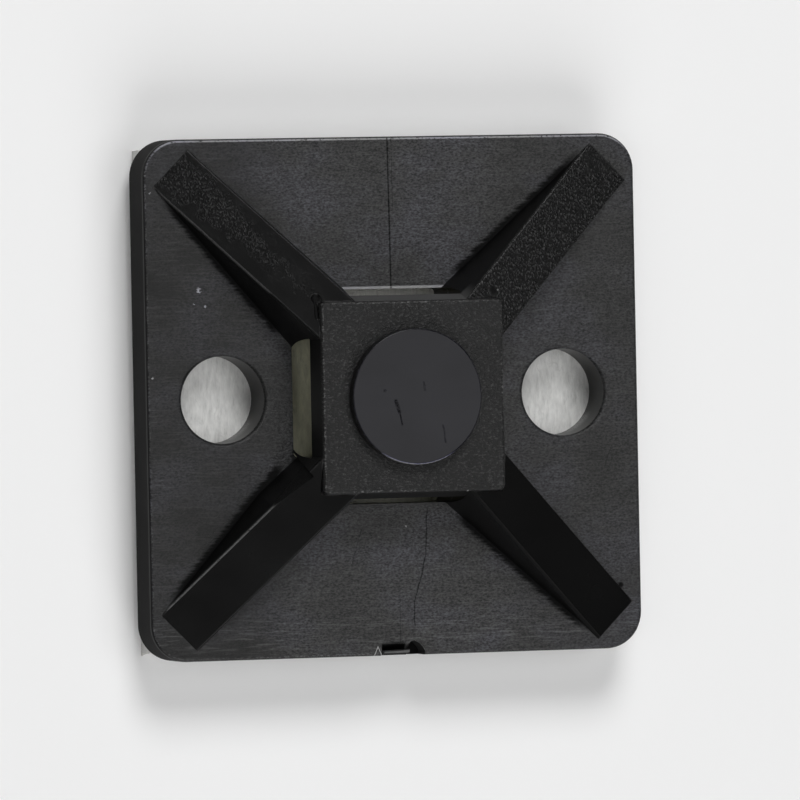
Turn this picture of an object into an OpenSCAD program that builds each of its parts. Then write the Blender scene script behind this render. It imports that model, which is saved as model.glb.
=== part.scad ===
// Four-way adhesive mount for cable ties: a moulded base on a foam pad with its release liner.
// The origin is the middle of the liner's underside, +Z is up out of the surface that the mount
// is stuck to, and the two screw holes lie along X.

/* [Base plate] */
// Side of the square base plate
plate_size = 28; // [26:0.5:34]
// Thickness of the base plate
plate_thickness = 2.4; // [1.8:0.1:3.4]
// Radius of the plate's four corners, seen from above
plate_corner_radius = 2; // [1:0.1:2.4]
// Radius on the plate's upper edge
plate_edge_radius = 0.2; // [0.1:0.05:0.4]

/* [Screw holes] */
// Diameter of the two screw holes
screw_hole_diameter = 4.7; // [3.2:0.1:5]
// Distance between the centres of the two screw holes
screw_hole_spacing = 19.4; // [18.4:0.1:20.4]
// Radius on the screw holes' upper edge
screw_hole_edge_radius = 0.2; // [0.1:0.05:0.4]

/* [Tie bridge] */
// Side of the bridge's square top
bridge_size = 10.2; // [9.4:0.1:10.8]
// Height of the bridge's top above the plate's face
bridge_height = 3.2; // [2.6:0.1:4.2]
// Thickness of the bridge over the tie
bridge_thickness = 1.1; // [0.8:0.1:1.5]
// Slope of the bridge's outer walls, in degrees from upright
bridge_draft = 18; // [8:1:22]
// Radius on the bridge's corners, seen from above
bridge_corner_radius = 0.3; // [0.2:0.05:0.6]
// Radius on the bridge's upper edge
bridge_edge_radius = 0.15; // [0.05:0.05:0.25]

/* [Tie passages] */
// Width of the two crossing passages, between the legs
passage_width = 6.4; // [4.8:0.1:6.6]
// How far the openings in the plate reach past the foot of the bridge's walls
passage_reach = 0.34; // [0.1:0.02:0.6]
// Radius in the outer corners of the openings
passage_corner_radius = 0.3; // [0.1:0.05:0.6]

/* [Ribs] */
// Width of a rib along its top
rib_width = 2.85; // [2.2:0.05:3.2]
// Distance from a rib's outer end to the middle of the mount
rib_reach = 17.6; // [15:0.1:17.8]
// How far a rib's top lies below the bridge's top, at the bridge's corner
rib_step = 0.45; // [0.2:0.05:0.9]
// Slope of a rib's side walls, in degrees from upright
rib_draft = 14; // [4:1:18]
// Radius on a rib's upper edges
rib_edge_radius = 0.1; // [0.05:0.05:0.3]

/* [Round boss] */
// Diameter of the round boss on the bridge
boss_diameter = 7.3; // [5:0.1:8.4]
// Height of the round boss
boss_height = 0.65; // [0.3:0.05:1.2]
// Radius on the boss's upper edge
boss_edge_radius = 0.08; // [0.04:0.02:0.2]

/* [Moulding marks] */
// Width of the recess where the gate was broken off
gate_width = 2.5; // [1.5:0.1:4]
// Length of the gate recess, in from the plate's edge
gate_length = 0.74; // [0.64:0.02:1]
// Depth of the gate recess below the plate's face
gate_depth = 0.8; // [0.4:0.1:1.2]
// Distance of the gate recess from the plate's middle
gate_offset = 0.25; // [-2:0.05:2]
// How far the recess's inner wall slopes out towards the plate's edge
gate_slant = 0.5; // [0.1:0.05:0.6]
// Width of the deeper tear at the recess's right end
tear_width = 0.85; // [0.3:0.05:1.2]
// Depth of the tear below the plate's face
tear_depth = 1.3; // [0.9:0.1:1.8]
// Width of the torn lip left at the gate
stub_width = 1.45; // [0.8:0.05:2]
// Thickness of the torn lip
stub_thickness = 0.16; // [0.1:0.02:0.22]
// How far the torn lip leans inwards, in degrees
stub_lean = 12; // [0:1:20]
// Length of the wedge-shaped flaw in the side of one rib, beside the bridge
flaw_length = 2.9; // [1:0.1:4]
// Depth of the flaw at its blunt end
flaw_depth = 0.4; // [0.1:0.02:0.6]
// How far the flaw's blunt end lies inside the bridge's corner, along the rib
flaw_inset = 0.3; // [0:0.05:0.5]

/* [Adhesive pad] */
// Side of the square foam pad and of its liner
pad_size = 27; // [22:0.5:28]
// Thickness of the foam pad
pad_thickness = 1; // [0.5:0.1:2]
// Thickness of the release liner
liner_thickness = 0.12; // [0.08:0.02:0.3]

/* [Hidden] */
$fn = 64;
// A short overlap that joins two forms, or carries a cut past a face
join = 0.05;
plate_back = liner_thickness + pad_thickness;
plate_face = plate_back + plate_thickness;
bridge_top = plate_face + bridge_height;
bridge_underside = bridge_top - bridge_thickness;
bridge_half = bridge_size / 2;
bridge_foot_half = bridge_half + bridge_thickness * tan(bridge_draft);
passage_half_length = bridge_foot_half + passage_reach;
// Distance of the bridge's corner from the middle, along a rib
rib_inner_reach = bridge_half * sqrt(2);
rib_rise = bridge_height - rib_step;
rib_slope = atan(rib_rise / (rib_reach - rib_inner_reach));
// Share of the plate's thickness that the ribs' feet are sunk into it
sink_share = 0.4;
sink_depth = sink_share * plate_thickness;
// Height of a rib's section under its top
rib_body_depth = bridge_height + sink_depth;

// Half of a slab's cross-section, with its upper outer corner rounded
module edge_profile(width, height, radius) {
    square([width - radius, height]);
    square([width, height - radius]);
    translate([width - radius, height - radius])
        circle(radius);
}

// A square slab with rounded corners and a rounded upper edge
module rounded_slab(side, height, corner_radius, edge_radius) {
    run = side / 2 - corner_radius;
    for (turn = [0 : 90 : 270])
        rotate([0, 0, turn]) {
            translate([run, run, 0])
                rotate_extrude(angle = 90)
                    edge_profile(corner_radius, height, edge_radius);
            translate([run, run, 0])
                rotate([90, 0, 0])
                    linear_extrude(2 * run)
                        edge_profile(corner_radius, height, edge_radius);
        }
    translate([-run, -run, 0])
        cube([2 * run, 2 * run, height]);
}

// A rectangle with rounded corners, centred
module rounded_rectangle(length, width, radius) {
    square([length - 2 * radius, width], center = true);
    square([length, width - 2 * radius], center = true);
    for (x = [-1, 1], y = [-1, 1])
        translate([x * (length / 2 - radius), y * (width / 2 - radius)])
            circle(radius);
}

// The bridge's slab, its walls sloping outward from a rounded upper edge
module bridge_slab() {
    corner = bridge_half - bridge_corner_radius;
    foot_radius = bridge_corner_radius + bridge_foot_half - bridge_half;
    translate([0, 0, bridge_underside])
        hull()
            for (x = [-1, 1], y = [-1, 1])
                translate([x * corner, y * corner, 0])
                    rotate_extrude($fn = 32)
                        bridge_corner_profile(foot_radius);
}

// Section of the bridge's corner: a sloping wall that ends in an arc
module bridge_corner_profile(foot_radius) {
    arc_steps = 4;
    arc_height = bridge_thickness - bridge_edge_radius;
    wall_run = foot_radius - bridge_corner_radius;
    arc_foot = bridge_corner_radius + wall_run * bridge_edge_radius / bridge_thickness;
    arc_width = min(bridge_edge_radius, arc_foot);
    polygon(concat(
        [[0, 0], [foot_radius, 0]],
        [for (i = [0 : arc_steps])
            let (a = 90 * i / arc_steps)
            [arc_foot - arc_width * (1 - cos(a)), arc_height + bridge_edge_radius * sin(a)]],
        [[0, bridge_thickness]]
    ));
}

// Cross-section of a rib, its top at y = 0, with sloping walls and rounded upper edges
module rib_profile() {
    arc_steps = 4;
    half = rib_width / 2;
    foot = half + rib_body_depth * tan(rib_draft);
    turn = 90 - rib_draft;
    right_edge = [for (i = [0 : arc_steps])
        let (a = 90 - turn * i / arc_steps)
        [half - rib_edge_radius * (1 - cos(a)), -rib_edge_radius * (1 - sin(a))]];
    left_edge = [for (i = [arc_steps : -1 : 0]) [-right_edge[i][0], right_edge[i][1]]];
    polygon(concat(right_edge, [[foot, -rib_body_depth], [-foot, -rib_body_depth]], left_edge));
}

// One rib along +X: its top runs from the plate's face up to the bridge's corner
module rib() {
    tunnel_corner = passage_width / 2 * sqrt(2);
    slant_length = (rib_reach - tunnel_corner) / cos(rib_slope);
    intersection() {
        translate([rib_reach, 0, plate_face])
            rotate([0, rib_slope, 0])
                rotate([90, 0, -90])
                    linear_extrude(slant_length + rib_body_depth)
                        rib_profile();
        translate([tunnel_corner - join, -plate_size / 2, plate_face - sink_depth])
            cube([rib_reach, plate_size, sink_depth + bridge_height - join]);
    }
}

// The flaw in one side of the rib along +X, parallel to the rib's sloping wall
module rib_flaw() {
    blunt_end = (rib_reach - rib_inner_reach + flaw_inset) / cos(rib_slope);
    reach_out = rib_width;
    intersection() {
        translate([rib_reach, 0, plate_face])
            rotate([0, rib_slope, 0])
                translate([-blunt_end, -rib_width / 2, 0])
                    rotate([-rib_draft, 0, 0])
                        linear_extrude(2 * rib_body_depth, center = true)
                            polygon([
                                [0, flaw_depth], [0, -reach_out],
                                [flaw_length, -reach_out], [flaw_length, 0]
                            ]);
        translate([0, -plate_size / 2, plate_face])
            cube([rib_reach, plate_size, bridge_height]);
    }
}

// The round boss on top of the bridge
module boss() {
    translate([0, 0, bridge_top - join])
        rotate_extrude()
            edge_profile(boss_diameter / 2, boss_height + join, boss_edge_radius);
}

// The two crossing tie passages, open to the plate's back
module tie_passages() {
    translate([0, 0, plate_back - join])
        linear_extrude(bridge_underside - plate_back + join)
            for (turn = [0, 90])
                rotate([0, 0, turn])
                    rounded_rectangle(2 * passage_half_length, passage_width, passage_corner_radius);
}

// The screw holes, straight through the plate, their upper edge rounded
module screw_holes() {
    radius = screw_hole_diameter / 2;
    flare = radius + screw_hole_edge_radius;
    for (side = [-1, 1])
        translate([side * screw_hole_spacing / 2, 0, 0]) {
            translate([0, 0, plate_back - join])
                cylinder(r = radius, h = plate_thickness + 2 * join);
            translate([0, 0, plate_face - screw_hole_edge_radius])
                rotate_extrude()
                    difference() {
                        square([flare, screw_hole_edge_radius + join]);
                        translate([flare, 0])
                            circle(screw_hole_edge_radius);
                    }
        }
}

// The recess at the plate's edge where the gate was broken off: its inner wall slopes down
// towards the edge
module gate_recess() {
    floor_length = gate_length - gate_slant;
    translate([gate_offset - gate_width / 2, -plate_size / 2, plate_face])
        rotate([90, 0, 90])
            linear_extrude(gate_width - tear_width + join)
                polygon([
                    [-join, join], [gate_length, join], [gate_length, 0],
                    [floor_length, -gate_depth], [-join, -gate_depth]
                ]);
}

// The deeper hole at one end of the gate recess, where the plastic was torn out
module gate_tear() {
    torn_outline = [[0, 1], [0.3, 1.06], [0.62, 0.88], [0.85, 0.6], [1, 0.3]];
    translate([gate_offset + gate_width / 2 - tear_width, -plate_size / 2, plate_face - tear_depth])
        linear_extrude(tear_depth + join)
            polygon(concat(
                [[0, -join]],
                [for (p = torn_outline) [p[0] * tear_width, p[1] * gate_length]],
                [[tear_width, -join]]
            ));
}

// The torn lip that stands in the gate recess along the plate's edge, leaning inwards
module gate_stub() {
    torn_top = [[0, 0.62], [0.3, 0.74], [0.6, 0.92], [0.8, 0.86], [1, 0.95]];
    stub_height = gate_depth + join;
    left_end = gate_offset - gate_width / 2 + stub_thickness;
    translate([left_end, -plate_size / 2, plate_face - stub_height])
        rotate([90 - stub_lean, 0, 0])
            mirror([0, 0, 1])
                linear_extrude(stub_thickness)
                    polygon(concat(
                        [for (p = torn_top) [p[0] * stub_width, p[1] * stub_height]],
                        [[stub_width, 0], [0, 0]]
                    ));
}

// The moulded base, in one piece
module mount_base() {
    color([0.13, 0.13, 0.14])
        difference() {
            union() {
                translate([0, 0, plate_back])
                    rounded_slab(plate_size, plate_thickness, plate_corner_radius, plate_edge_radius);
                bridge_slab();
                for (turn = [45 : 90 : 315])
                    rotate([0, 0, turn])
                        rib();
                boss();
            }
            tie_passages();
            screw_holes();
            gate_recess();
            gate_tear();
            rotate([0, 0, 225])
                rib_flaw();
        }
    color([0.13, 0.13, 0.14])
        gate_stub();
}

// The double-sided foam pad under the base, not punched at the holes
module foam_pad() {
    color([0.76, 0.77, 0.75])
        translate([-pad_size / 2, -pad_size / 2, liner_thickness])
            cube([pad_size, pad_size, pad_thickness]);
}

// The release liner that covers the pad's lower adhesive
module release_liner() {
    color([0.93, 0.92, 0.88])
        translate([-pad_size / 2, -pad_size / 2, 0])
            cube([pad_size, pad_size, liner_thickness]);
}

mount_base();
foam_pad();
release_liner();
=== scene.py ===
"""Looks of the adhesive cable tie mount: materials, foam pad, liner, camera and studio light.

Lengths are millimetres in the part's own frame unless a comment says metres. +X runs through the
screw holes, +Y points away from the gate mark, and z is 0 under the liner.
"""
import math
from types import SimpleNamespace

import bmesh
import bpy
from mathutils import Matrix, Vector, noise


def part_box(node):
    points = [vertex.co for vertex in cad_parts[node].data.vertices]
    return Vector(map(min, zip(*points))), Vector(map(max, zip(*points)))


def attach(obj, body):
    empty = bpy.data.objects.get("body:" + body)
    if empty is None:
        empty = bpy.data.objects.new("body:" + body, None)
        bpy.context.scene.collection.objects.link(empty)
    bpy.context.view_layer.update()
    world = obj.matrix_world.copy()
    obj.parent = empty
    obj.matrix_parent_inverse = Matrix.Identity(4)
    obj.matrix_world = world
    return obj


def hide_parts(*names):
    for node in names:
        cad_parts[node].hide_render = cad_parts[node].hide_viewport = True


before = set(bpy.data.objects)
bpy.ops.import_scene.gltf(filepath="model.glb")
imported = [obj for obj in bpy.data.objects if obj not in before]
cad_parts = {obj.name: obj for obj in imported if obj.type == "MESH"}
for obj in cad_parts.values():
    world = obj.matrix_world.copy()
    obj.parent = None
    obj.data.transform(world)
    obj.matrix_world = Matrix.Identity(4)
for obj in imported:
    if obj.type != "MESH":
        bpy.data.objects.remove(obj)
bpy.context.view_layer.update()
scene = bpy.context.scene
scene.view_settings.view_transform = "Standard"

MM = 0.001  # metres
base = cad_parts["mount_base"]
base_low, base_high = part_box("mount_base")
pad_low, pad_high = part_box("foam_pad")
liner_low, liner_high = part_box("release_liner")

BACK = base_low.z / MM             # height of the plate's back
FACE = BACK + 2.4                  # height of the plate's face
DECK = FACE + 3.2                  # height of the bridge's deck
TOP = base_high.z / MM             # height of the boss's top
HALF = base_high.x / MM            # half the plate's side
CORNER = 2.0                       # radius of the plate's corners
BRIDGE = 5.1                       # half the bridge's side
BOSS = 3.65                        # the boss's radius
RIB = 1.425                        # half a rib's width
RIB_END = 17.6                     # a rib's far end, from the middle
HOLES = ((-9.7, 0.0), (9.7, 0.0))  # the screw holes' centres


# ---------------------------------------------------------------- node graphs
class Graph:
    """One material's nodes. Its places and heights are millimetres."""

    def __init__(self, name):
        self.material = bpy.data.materials.new(name)
        self.material.use_nodes = True
        self.nodes = self.material.node_tree.nodes
        self.links = self.material.node_tree.links
        self.nodes.clear()
        place = self.add("ShaderNodeTexCoord").outputs["Object"]
        self.p = self.vec("SCALE", place, scale=1 / MM)
        self.x, self.y, self.z = self.add("ShaderNodeSeparateXYZ", Vector=self.p).outputs
        self.flat = self.vec("MULTIPLY", self.p, (1, 1, 0))
        self.shader = self.add("ShaderNodeBsdfPrincipled")
        end = self.add("ShaderNodeOutputMaterial")
        self.links.new(self.shader.outputs[0], end.inputs["Surface"])

    def put(self, socket, value):
        if isinstance(value, bpy.types.NodeSocket):
            self.links.new(value, socket)
        else:
            socket.default_value = value

    def put_all(self, node, values):
        for socket, value in zip(node.inputs, values):
            self.put(socket, value)

    def add(self, kind, settings=(), **inputs):
        node = self.nodes.new(kind)
        for key, value in dict(settings).items():
            setattr(node, key, value)
        for key, value in inputs.items():
            self.put(node.inputs[key], value)
        return node

    # vectors
    def vec(self, operation, *values, scale=None):
        node = self.add("ShaderNodeVectorMath", {"operation": operation})
        self.put_all(node, values)
        if scale is not None:
            self.put(node.inputs["Scale"], scale)
        gives_number = operation in ("LENGTH", "DISTANCE", "DOT_PRODUCT")
        return node.outputs["Value" if gives_number else "Vector"]

    def colour(self, red, green, blue):
        node = self.add("ShaderNodeCombineColor")
        self.put_all(node, (red, green, blue))
        return node.outputs[0]

    # numbers
    def math(self, operation, *values, clamp=False):
        node = self.add("ShaderNodeMath", {"operation": operation, "use_clamp": clamp})
        self.put_all(node, values)
        return node.outputs[0]

    def chain(self, operation, values):
        result = values[0]
        for value in values[1:]:
            result = self.math(operation, result, value)
        return result

    def times(self, *values):
        return self.chain("MULTIPLY", values)

    def total(self, *values):
        return self.chain("ADD", values)

    def most(self, *values):
        return self.chain("MAXIMUM", values)

    def less(self, value, amount):
        return self.math("SUBTRACT", value, amount)

    def rest(self, share):
        return self.less(1, share)

    def size(self, value):
        return self.math("ABSOLUTE", value)

    def layers(self, ground, *rows):
        """ground plus the product of each row, which is masks and an amount"""
        return self.total(ground, *[self.times(*row) for row in rows])

    def span(self, value, low, high, start=0.0, end=1.0, kind="SMOOTHSTEP"):
        """start where value is low, end where it is high, and held beyond both"""
        node = self.add("ShaderNodeMapRange", {"interpolation_type": kind, "clamp": True})
        self.put_all(node, (value, low, high, start, end))
        return node.outputs["Result"]

    def blend(self, start, end, share):
        return self.span(share, 0, 1, start, end, "LINEAR")

    def within(self, value, low, high, soft):
        return self.times(
            self.span(value, low - soft, low + soft), self.span(value, high + soft, high - soft)
        )

    # patterns, all from 0 to 1
    def grain(self, size, stretch=(1, 1, 1), detail=2.0, rough=0.5, offset=0.0):
        """Noise with forms of about that size"""
        place = self.vec("MULTIPLY", self.p, tuple(1 / (size * s) for s in stretch))
        if offset:
            place = self.vec("ADD", place, (offset, offset * 0.7, offset * 1.3))
        inputs = {"Vector": place, "Scale": 1.0, "Detail": detail, "Roughness": rough}
        return self.add("ShaderNodeTexNoise", **inputs).outputs[0]

    def cells(self, size, offset):
        place = self.vec("ADD", self.vec("SCALE", self.p, scale=1 / size), (offset,) * 3)
        return self.add("ShaderNodeTexVoronoi", Vector=place, Scale=1.0).outputs["Distance"]

    def stroke(self, start, end, width, soft, on=None):
        """A line from start to end, seen from above. A warped place given as on makes it waver."""
        first = Vector((*start, 0))
        run = Vector((*end, 0)) - first
        away = self.vec("SUBTRACT", on or self.flat, tuple(first))
        share = self.math(
            "DIVIDE", self.vec("DOT_PRODUCT", away, tuple(run)), run.length_squared, clamp=True
        )
        nearest = self.vec("SCALE", tuple(run), scale=share)
        return self.span(self.vec("DISTANCE", away, nearest), width / 2, width / 2 * (1 - soft))

    def path(self, points, width, soft, on=None):
        ends = zip(points, points[1:])
        return self.most(*[self.stroke(start, end, width, soft, on) for start, end in ends])

    def spot(self, centre, radius, soft=0.6, on=None):
        away = self.vec("DISTANCE", on or self.flat, (*centre, 0))
        return self.span(away, radius, radius * (1 - soft))

    def spots(self, *rows):
        return self.most(*[self.spot(*row) for row in rows])

    def finish(self, colour, roughness, height=None):
        self.put(self.shader.inputs["Base Color"], colour)
        self.put(self.shader.inputs["Roughness"], roughness)
        if height is not None:
            bump = self.add("ShaderNodeBump", Height=height, Strength=1.0, Distance=MM)
            self.links.new(bump.outputs[0], self.shader.inputs["Normal"])
        return self.material


def dress(obj, material):
    obj.data.materials.clear()
    obj.data.materials.append(material)


# ---------------------------------------------------------------- black nylon
KNIT = ((-0.15, 13.9), (-0.08, 5.8))
WELD = ((1.72, -6.2), (1.62, -8.56), (1.31, -9.9), (0.88, -11.14), (0.91, -12.4))
FIBRE = ((-1.42, -13.98), (-1.22, -13.5), (-1.0, -13.98))
GATE_LIP = ((-0.7, -13.84), (0.62, -13.78))
TORN_END = (1.08, -13.6)
SLOT_END = 5.8  # the tie slots' outer edge, from the middle


def surfaces(g):
    """Masks of the moulding's surfaces, and the distances that they are cut from"""
    m = SimpleNamespace()
    m.ax, m.ay = g.size(g.x), g.size(g.y)
    m.across = g.times(g.less(m.ax, m.ay), math.sqrt(0.5))  # from a rib's middle line
    m.along = g.times(g.total(m.ax, m.ay), math.sqrt(0.5))  # down a rib
    m.reach = g.most(m.ax, m.ay)
    m.radius = g.vec("LENGTH", g.flat)
    inner = (HALF - CORNER, HALF - CORNER, 0)
    beyond = g.vec("SUBTRACT", g.vec("ABSOLUTE", g.flat), inner)
    m.out = g.vec("LENGTH", g.vec("MAXIMUM", beyond, (0, 0, 0)))  # CORNER at the plate's sides
    m.right, m.upper = g.span(g.x, -0.5, 0.5), g.span(g.y, -0.5, 0.5)
    m.left = g.rest(m.right)

    m.boss = g.times(
        g.span(g.z, DECK + 0.5, TOP - 0.06), g.span(m.radius, BOSS + 0.01, BOSS - 0.05)
    )
    m.deck = g.times(
        g.span(g.z, DECK - 0.25, DECK - 0.1),
        g.span(m.reach, BRIDGE + 0.15, BRIDGE + 0.05),
        g.rest(m.boss),
    )
    m.rib = g.times(
        g.span(g.size(m.across), RIB + 0.035, RIB - 0.005),
        g.span(m.reach, BRIDGE + 0.04, BRIDGE + 0.1),
        g.span(m.along, RIB_END + 0.05, RIB_END - 0.02),
    )
    m.off_rib = g.rest(m.rib)
    m.plate = g.rest(g.math("MINIMUM", 1, g.total(m.boss, m.deck, m.rib)))
    over_edge = g.less(g.z, g.span(m.out, 1.5, 1.8, FACE - 0.2, FACE - 0.05))
    m.face = g.times(
        m.plate, g.span(over_edge, -0.02, 0.02), g.span(g.z, FACE + 0.08, FACE + 0.04)
    )
    m.wall = g.times(m.plate, g.span(g.z, FACE - 0.1, FACE - 0.3), g.span(m.out, 1.8, 1.9))
    m.open_face = g.most(m.face, m.deck, m.boss)
    m.upper_rib = g.times(m.rib, g.span(g.y, -0.05, 0.05))
    # painted light: the bridge's wall over the upper slot, lit paler than the others
    m.north = g.times(
        g.span(g.y, BRIDGE, BRIDGE + 0.06),
        g.span(m.ax, 3.9, 2.9),
        m.off_rib,
        g.within(g.z, DECK - 1.1, DECK - 0.16, 0.05),
    )
    return m


def textures(g, m):
    """Fine grain, streaked along X on the plate and along Y on the upper ribs' rough parts"""
    cloud = g.add("ShaderNodeTexNoise", Vector=g.p, Scale=1.6, Detail=1.0).outputs[1]
    shift = g.vec("SUBTRACT", cloud, (0.5, 0.5, 0.5))
    m.wisp = g.vec("ADD", g.flat, g.vec("MULTIPLY", shift, (0.14, 0.14, 0)))
    per_mm = g.add(
        "ShaderNodeCombineXYZ",
        X=g.blend(6.8, 12.0, m.upper_rib),
        Y=g.blend(11.5, 6.6, m.upper_rib),
        Z=9.0,
    ).outputs[0]
    m.grain = g.add(
        "ShaderNodeTexNoise",
        Vector=g.vec("MULTIPLY", g.p, per_mm), Scale=1.0, Detail=2.5, Roughness=0.62,
    ).outputs[0]
    m.mottle = g.grain(2.6, (1.6, 1, 1), 2, 0.55, 11)
    m.swing = g.less(m.mottle, 0.5)
    m.brushed = g.grain(0.09, (14, 1, 1), 1, 0.6, 31)

    # rough all over the upper right rib, and in a frayed band that widens down the upper left one
    fray = g.vec("DOT_PRODUCT", shift, (1.1, 1.1, 0))
    from_middle = g.size(g.total(m.across, fray, 0.1))
    from_middle = g.total(from_middle, g.times(g.less(m.grain, 0.5), 2.4))
    band = g.span(m.along, 7.0, 16.5, 0.1, 1.3, "LINEAR")
    m.gritty = g.times(
        m.upper_rib, g.most(m.right, g.span(g.less(from_middle, band), 0.05, -0.05))
    )
    m.smooth = g.times(m.upper_rib, m.left, g.rest(m.gritty))


def marks(g, m):
    """Lines where the flows of plastic met, scratches, pits, chips and scuffs"""
    faint = g.most(
        g.stroke((-2.0, -7.1), (-2.36, -8.14), 0.09, 0.9, m.wisp),
        g.stroke((-2.36, -8.3), (-2.61, -9.0), 0.12, 0.9, m.wisp),
        g.stroke((12.44, -2.89), (11.95, -4.08), 0.08, 0.9, m.wisp),
    )
    knit = g.path(KNIT, 0.14, 0.8)
    weld = g.path(WELD, 0.12, 0.8, m.wisp)
    m.lines = g.times(
        m.face,
        g.most(knit, g.times(weld, 0.9), g.times(faint, 0.7)),
        g.span(m.grain, 0.3, 0.6, 1.0, 0.75),
    )
    m.cut = g.times(m.boss, g.span(m.grain, 0.35, 0.6, 1.0, 0.35), g.most(
        g.stroke((-1.24, -0.22), (-1.04, -0.85), 0.24, 0.9),
        g.stroke((-1.04, -0.8), (-0.9, -1.5), 0.1, 0.9),
        g.times(g.stroke((1.4, -1.6), (1.55, -2.5), 0.12, 0.9, m.wisp), 0.4),
        g.times(g.stroke((0.4, 0.75), (0.42, 0.3), 0.14, 0.9, m.wisp), 0.35),
        g.times(g.spot((-1.85, 0.34), 0.1), 0.4),
    ))
    m.pits = g.times(m.rib, g.most(
        g.spot((4.86, 5.55), 0.34, 0.7, m.wisp),
        g.spot((-5.25, 5.35), 0.3, 0.7, m.wisp),
        g.stroke((-5.35, 5.4), (-5.28, 4.3), 0.22, 0.8, m.wisp),
    ))
    m.torn = g.most(
        g.times(g.spot(TORN_END, 0.62, 0.3), g.span(g.z, FACE - 0.1, FACE - 0.2)),
        g.times(g.spot((12.8, -10.55), 0.22), m.face),
    )
    m.scuffs = g.times(m.face, g.within(g.y, -13.5, -11.9, 0.4), g.span(m.brushed, 0.5, 0.7))
    chips = g.spots(
        ((-10.98, 5.9), 0.2), ((-11.25, 5.2), 0.09), ((-10.62, 5.03), 0.1),
        ((-13.68, 1.24), 0.1), ((-13.62, 11.15), 0.08), ((0.51, -7.05), 0.07),
    )
    m.chips = g.times(m.face, chips, g.span(m.grain, 0.45, 0.6))
    m.glints = g.spots(((3.0, -5.14), 0.05), ((5.07, 5.62), 0.07))
    m.fibre = g.times(g.path(FIBRE, 0.06, 0.6), 0.5)
    m.smear = g.times(  # a paler patch, low on the holes' walls towards the lower right
        g.spots(((-8.2, -1.8), 1.0, 0.5), ((11.2, -1.85), 1.0, 0.5)),
        g.span(g.z, BACK + 1.3, BACK + 0.5),
        g.span(m.grain, 0.3, 0.6),
    )


def edges(g, m):
    """Painted highlights on edges that catch the light, and painted shade beside the ribs"""
    # painted shade on the face at the foot of the ribs' left-facing walls, its edge broken up by
    # the grain
    foot_slope = 0.066
    side = g.times(m.across, g.less(m.left, m.right))
    foot = g.total(side, -RIB - 0.005, g.times(g.less(m.along, RIB_END), foot_slope))
    fringe = g.times(g.less(m.brushed, 0.5), 0.45)
    m.foot = g.times(
        m.face,
        g.span(g.total(foot, fringe), 0.4, 0.05),
        g.span(foot, -0.3, -0.2),
        g.span(m.along, 17.2, 15.5),
        g.span(m.along, 6.8, 7.6),
    )
    # painted shade along the left crest of the lower right rib, dimming its highlight
    crest = g.span(g.size(g.total(m.across, RIB - 0.035)), 0.14, 0.09)
    m.crest = g.times(m.rib, m.right, g.span(g.y, 0.5, -0.5), crest)

    # painted highlight along the left ribs' left edges, weaker on the upper one
    seam = g.span(g.size(g.less(m.across, RIB - 0.035)), 0.06, 0.02)
    m.seam = g.times(
        seam, m.left, m.rib,
        g.within(m.along, 9.5, 17.2, 0.3),
        g.span(m.grain, 0.2, 0.55),
        g.blend(1.0, 0.35, m.upper),
    )
    # painted highlight along the plate's far edge and the upper part of its left edge
    far_rim = g.times(g.span(g.y, 13.0, 13.8), g.span(m.grain, 0.3, 0.5))
    left_rim = g.times(m.left, g.span(g.y, 9.0, 13.4, 0.12, 0.4), g.span(m.grain, 0.46, 0.6))
    m.rim = g.times(
        g.within(m.out, CORNER - 0.16, CORNER - 0.08, 0.03),
        g.span(g.z, FACE - 0.25, FACE - 0.1),
        g.most(far_rim, left_rim),
    )
    # painted highlight along the upper slot's outer edge
    m.slot_lip = g.times(
        m.face, g.span(m.ax, 3.3, 3.2), g.within(g.y, SLOT_END - 0.02, SLOT_END + 0.13, 0.03)
    )
    # painted highlight on the gate's lip
    m.gate_lip = g.times(
        g.path(GATE_LIP, 0.16, 0.9),
        g.span(g.z, FACE - 1.1, FACE - 0.6),
        g.span(m.mottle, 0.35, 0.6, 0.5, 1.0),
    )
    # painted highlight on the lower arc of the boss's edge
    m.boss_arc = g.times(
        g.within(m.radius, BOSS - 0.05, BOSS + 0.02, 0.02),
        g.span(g.z, TOP - 0.3, TOP - 0.15),
        g.span(g.y, -2.9, -3.4),
        g.span(m.grain, 0.35, 0.6, 0.5, 1.0),
    )
    # painted highlight along the deck's upper and left edges
    m.deck_rim = g.times(
        g.within(m.reach, BRIDGE - 0.08, BRIDGE, 0.02),
        g.span(g.z, DECK - 0.3, DECK - 0.15),
        g.most(m.upper, m.left),
        g.span(m.grain, 0.45, 0.65),
        m.off_rib,
    )


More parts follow.
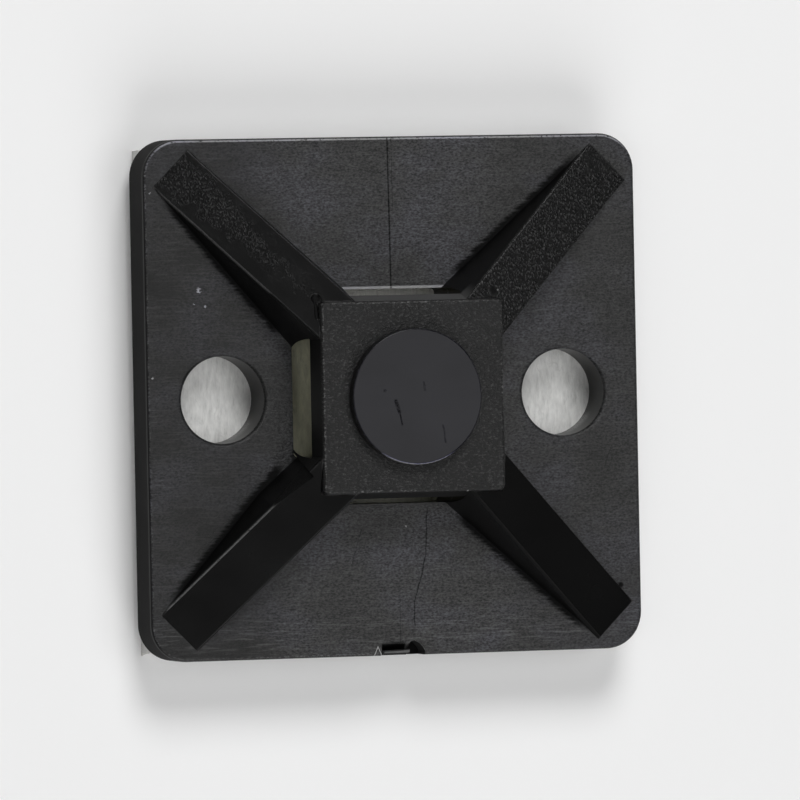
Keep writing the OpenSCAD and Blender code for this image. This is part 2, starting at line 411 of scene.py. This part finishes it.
def nylon():
    """Black moulded nylon: dull and brushed on the plate, smooth on the boss and lower ribs"""
    g = Graph("black_nylon")
    m = surfaces(g)
    textures(g, m)
    marks(g, m)
    edges(g, m)

    relief = g.layers(
        0.004, (m.face, 0.04), (m.deck, 0.06), (m.gritty, g.blend(0.012, 0.03, m.right))
    )
    height = g.layers(g.times(g.less(m.grain, 0.5), relief), (m.cut, -0.03), (m.pits, -0.2))

    # darker and rougher at real marks (lines, scratches, pits, the tear), and with painted shade on
    # the lower right rib's left crest and at the ribs' feet
    dark = g.math("MINIMUM", 1, g.total(m.lines, m.cut, m.pits, m.torn, m.crest, m.foot))
    # painted glints: grain speckle on the face, varied at random by the mottle, with painted light
    # making it stronger on the right half and in a band across the middle
    plate_tone = g.layers(
        0.021,
        (m.swing, 0.08),
        (m.right, 0.021),
        (g.span(m.ax, 9.0, 5.0), g.blend(0.034, 0.017, m.right)),
    )
    # a ramp of the grain, used as painted glints on the face and the deck
    light = g.span(m.grain, 0.33, 0.72, kind="LINEAR")
    tone = g.layers(
        0.0016,
        (m.open_face, 0.0012),
        (m.swing, 0.002),
        (m.smooth, 0.004),
        (light, m.face, plate_tone),
        (m.face, g.span(m.brushed, 0.5, 0.75), 0.012),
        # painted glints: grain speckle on the deck
        (g.span(m.grain, 0.52, 0.74), m.deck, 0.045),
        (light, m.deck, 0.004),
        # painted glints on the rough parts of the upper ribs
        (m.gritty, g.span(m.grain, 0.48, 0.78), g.blend(0.045, 0.055, m.right)),
        # painted light on the bridge's upper wall
        (m.north, 0.07),
        (m.scuffs, 0.02),
        (m.chips, 0.3),
        (m.glints, 0.35),
        # painted highlights along edges of the ribs, plate, upper slot, gate, boss and deck
        (m.seam, 0.11),
        (m.rim, 0.26),
        (m.slot_lip, 0.3),
        (m.gate_lip, 0.16),
        (m.boss_arc, 0.24),
        (m.deck_rim, 0.07),
        (m.fibre, 0.6),
        (m.smear, 0.16),
    )
    tone = g.times(tone, g.rest(g.times(dark, 0.95)))
    blue = g.layers(
        1.0, (m.boss, g.rest(m.boss_arc), 1.2), (m.face, g.span(m.mottle, 0.4, 0.65), 0.14)
    )
    rough = g.layers(
        g.times(m.plate, 0.33),
        (m.wall, 0.6),
        (m.deck, 0.4),
        (m.boss, 0.34),
        (m.rib, g.layers(0.26, (m.upper_rib, m.left, -0.06))),
        (dark, 0.68),
        (m.swing, -0.12),
    )
    g.shader.inputs["Specular IOR Level"].default_value = 0.3
    return g.finish(g.colour(tone, tone, g.times(tone, blue)), rough, height)


dress(base, nylon())


# ---------------------------------------------------------------- foam pad and liner
BURR_RUN = 1.1  # how far the raised bit runs from the lower left corner
SWELLING = 2.2  # radius of the tape's swelling in a screw hole


def slab(name, low, high, cells, layers, wave, seed, burr, swell):
    """A thin square slab on a fine grid of so many cells and layers.

    Its cut sides wander by wave, its lower left corner stands out by burr, and its top swells by
    swell inside the screw holes. low and high are metres.
    """
    size = high - low
    bm = bmesh.new()

    def place(i, j, k):
        u, v, w = i / cells, j / cells, k / layers
        point = Vector((low.x + u * size.x, low.y + v * size.y, low.z + w * size.z)) / MM
        for axis, step in enumerate((i, j)):
            if step in (0, cells):
                way = -1 if step == 0 else 1
                slow = Vector((point.x * 0.5, point.y * 0.5, point.z * 0.8 + seed + axis))
                quick = Vector((point.x * 3, point.y * 3, point.z * 1.5 + seed))
                push = noise.noise(slow) * wave
                push += noise.noise(quick) * wave * 0.6
                if axis == 1 and way < 0:
                    near = max(0.0, 1 - (u * size.x / MM) / BURR_RUN)
                    torn = noise.noise(Vector((point.x * 5, seed, w * 2)))
                    push += burr * near * (0.8 + 0.5 * torn)
                point[axis] += way * (push - wave * 0.5)
        if k == layers:
            for x, y in HOLES:
                away = math.hypot(point.x - x, point.y - y)
                if away < SWELLING:
                    rise = 0.5 + noise.noise(Vector((point.x * 0.9, point.y * 0.45, seed)))
                    point.z += swell * (1 - (away / SWELLING) ** 2) * rise
        return bm.verts.new(point * MM)

    steps = range(cells + 1)
    verts = {
        (i, j, k): place(i, j, k)
        for k in range(layers + 1) for j in steps for i in steps
        if k in (0, layers) or i in (0, cells) or j in (0, cells)
    }
    for k in (0, layers):
        for j in range(cells):
            for i in range(cells):
                corners = ((i, j), (i + 1, j), (i + 1, j + 1), (i, j + 1))
                quad = [verts[a, b, k] for a, b in corners]
                bm.faces.new(quad if k else quad[::-1])
    ring = [(i, 0) for i in range(cells)] + [(cells, j) for j in range(cells)]
    ring += [(i, cells) for i in range(cells, 0, -1)] + [(0, j) for j in range(cells, 0, -1)]
    for k in range(layers):
        for a, b in zip(ring, ring[1:] + ring[:1]):
            bm.faces.new([verts[(*a, k)], verts[(*b, k)], verts[(*b, k + 1)], verts[(*a, k + 1)]])
    bm.normal_update()

    mesh = bpy.data.meshes.new(name)
    bm.to_mesh(mesh)
    bm.free()
    mesh.polygons.foreach_set("use_smooth", [True] * len(mesh.polygons))
    mesh.set_sharp_from_angle(angle=math.radians(40))
    obj = bpy.data.objects.new(name, mesh)
    scene.collection.objects.link(obj)
    return obj


def foam():
    """Closed-cell foam with a film of adhesive: streaked and lightly creased, with painted shade in
    the creases, painted shade and a yellow tint under the bridge, more painted shade in the lower
    slot and painted light in the upper one
    """
    g = Graph("white_foam")
    film = g.span(g.z, pad_high.z / MM - 0.03, pad_high.z / MM - 0.01)
    side = g.rest(film)
    cloud = g.grain(0.9, (1, 1.3, 1), 4, 0.55)
    streak = g.grain(0.2, (1, 4, 1), 3, 0.6, 13)
    fold = g.size(g.less(g.grain(0.7, (1, 2.4, 1), 2, 0.6, 5), 0.5))
    # creases in the film: a bump, and painted shade along them
    crease = g.times(g.span(fold, 0.03, 0.0), g.span(cloud, 0.4, 0.6))
    cell = g.cells(0.11, 2)
    cut = g.grain(0.1, (1, 1, 8), 2, 0.5, 3)

    # painted shade and a yellow tint on the tape under the bridge and in its slots; more painted
    # shade in the lower slot and painted light in the upper one
    aged = g.span(g.most(g.size(g.x), g.size(g.y)), 6.4, 6.0)
    in_upper_slot = (g.y, 5.0, 5.5)
    in_lower_slot = (g.y, -5.0, -5.5)
    soiled = g.times(
        aged, g.total(g.span(*in_lower_slot, 0.0, 0.6), g.span(*in_upper_slot, 0.0, -0.35))
    )
    tone = g.layers(g.blend(0.56, 0.88, cloud), (g.less(streak, 0.5), 0.5, film))
    tone = g.times(tone, g.layers(1, (crease, -0.07, film), (g.less(cut, 0.6), 0.4, side)))
    tone = g.times(tone, g.rest(soiled))
    yellow = g.span(*in_upper_slot, 0.62, 0.78)
    colour = g.colour(
        g.times(tone, g.blend(1.0, 0.86, aged)),
        g.times(tone, g.blend(1.0, 0.85, aged)),
        g.times(tone, g.blend(0.975, yellow, aged)),
    )
    height = g.layers(
        g.times(cloud, 0.09, film),
        (streak, 0.03, film),
        (crease, 0.012, film),
        (cell, 0.03, side),
        (cut, 0.03, side),
    )
    rough = g.layers(g.times(film, 0.3), (side, 0.8), (g.less(streak, 0.5), 0.2, film))
    return g.finish(colour, rough, height)


def paper():
    """Silicone-coated paper: short fibres, and a cut edge a little darker than its faces"""
    g = Graph("liner_paper")
    fibre = g.grain(0.12, (4, 1, 1), 3, 0.6)
    edge = g.span(g.most(g.size(g.x), g.size(g.y)), 13.35, 13.45)
    tone = g.times(g.blend(0.62, 0.78, fibre), g.blend(1.0, 0.88, edge))
    torn = g.grain(0.12, (1, 1, 5), 2, 0.5, 4)
    height = g.layers(g.times(fibre, 0.01), (torn, 0.03, edge))
    colour = g.colour(tone, g.times(tone, 0.99), g.times(tone, 0.95))
    return g.finish(colour, g.blend(0.42, 0.75, edge), height)


pad = slab("foam_tape_pad", pad_low, pad_high,
           cells=144, layers=6, wave=0.06, seed=3.1, burr=0.12, swell=0.07)
dress(pad, foam())
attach(pad, "root")
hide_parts("foam_pad")

liner = slab("liner_sheet", liner_low, liner_high,
             cells=144, layers=2, wave=0.05, seed=9.7, burr=0.22, swell=0.0)
dress(liner, paper())
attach(liner, "root")
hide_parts("release_liner")


# ---------------------------------------------------------------- floor, camera, light
FLOOR_HALF = 1.5  # metres
FLOOR_TONE = 0.96

YAW, PITCH, ROLL = math.radians(18.98), math.radians(0.78), math.radians(-1.11)
DISTANCE = 557.6 * MM
TARGET = Vector((1.134, -0.261, BACK)) * MM
LENS, SENSOR = 463.0, 36.0

WORLD = 0.03
LAMP_DISTANCE = 0.8  # metres
# name, bearing from +X in degrees, elevation in degrees, diameter in metres, power in watts
LAMPS = (
    ("key", 0, 71, 0.58, 1.55),
    ("top", 90, 45, 0.34, 3.1),
    ("bottom", 275, 33, 0.7, 3.1),
    ("left", 180, 45, 0.4, 0.25),
    ("front", 180, 68, 0.25, 0.5),
)


def add_floor():
    """A pale matt floor that keeps the part's shadow"""
    a = FLOOR_HALF
    mesh = bpy.data.meshes.new("floor")
    mesh.from_pydata([(-a, -a, 0), (a, -a, 0), (a, a, 0), (-a, a, 0)], [], [(0, 1, 2, 3)])
    obj = bpy.data.objects.new("floor", mesh)
    scene.collection.objects.link(obj)
    g = Graph("pale_floor")
    g.shader.inputs["Specular IOR Level"].default_value = 0.0
    obj.data.materials.append(g.finish((FLOOR_TONE, FLOOR_TONE, FLOOR_TONE, 1), 1.0))


def add_camera():
    """Looks at TARGET from DISTANCE, YAW to the left of the part's normal and PITCH above it"""
    back = Vector((-math.sin(YAW) * math.cos(PITCH), math.sin(PITCH),
                   math.cos(YAW) * math.cos(PITCH)))
    side = (-back).cross(Vector((0, 1, 0))).normalized()
    rise = side.cross(-back)
    right = math.cos(ROLL) * side + math.sin(ROLL) * rise
    up = -math.sin(ROLL) * side + math.cos(ROLL) * rise
    turn = Matrix((right, up, back)).transposed().to_4x4()
    data = bpy.data.cameras.new("camera")
    data.lens, data.sensor_width = LENS, SENSOR
    data.clip_start, data.clip_end = 0.01, 10
    obj = bpy.data.objects.new("camera", data)
    scene.collection.objects.link(obj)
    obj.matrix_world = Matrix.Translation(TARGET + back * DISTANCE) @ turn
    scene.camera = obj


def add_lamps():
    for name, bearing, elevation, diameter, power in LAMPS:
        data = bpy.data.lights.new(name, "AREA")
        data.shape = "DISK"
        data.size = diameter
        data.energy = power
        obj = bpy.data.objects.new(name, data)
        scene.collection.objects.link(obj)
        b, e = math.radians(bearing), math.radians(elevation)
        way = Vector((math.cos(b) * math.cos(e), math.sin(b) * math.cos(e), math.sin(e)))
        turn = way.to_track_quat("Z", "Y").to_matrix().to_4x4()
        obj.matrix_world = Matrix.Translation(way * LAMP_DISTANCE) @ turn


def add_world():
    world = bpy.data.worlds.new("studio")
    world.use_nodes = True
    background = world.node_tree.nodes["Background"]
    background.inputs["Color"].default_value = (1, 1, 1, 1)
    background.inputs["Strength"].default_value = WORLD
    scene.world = world


add_floor()
add_camera()
add_lamps()
add_world()
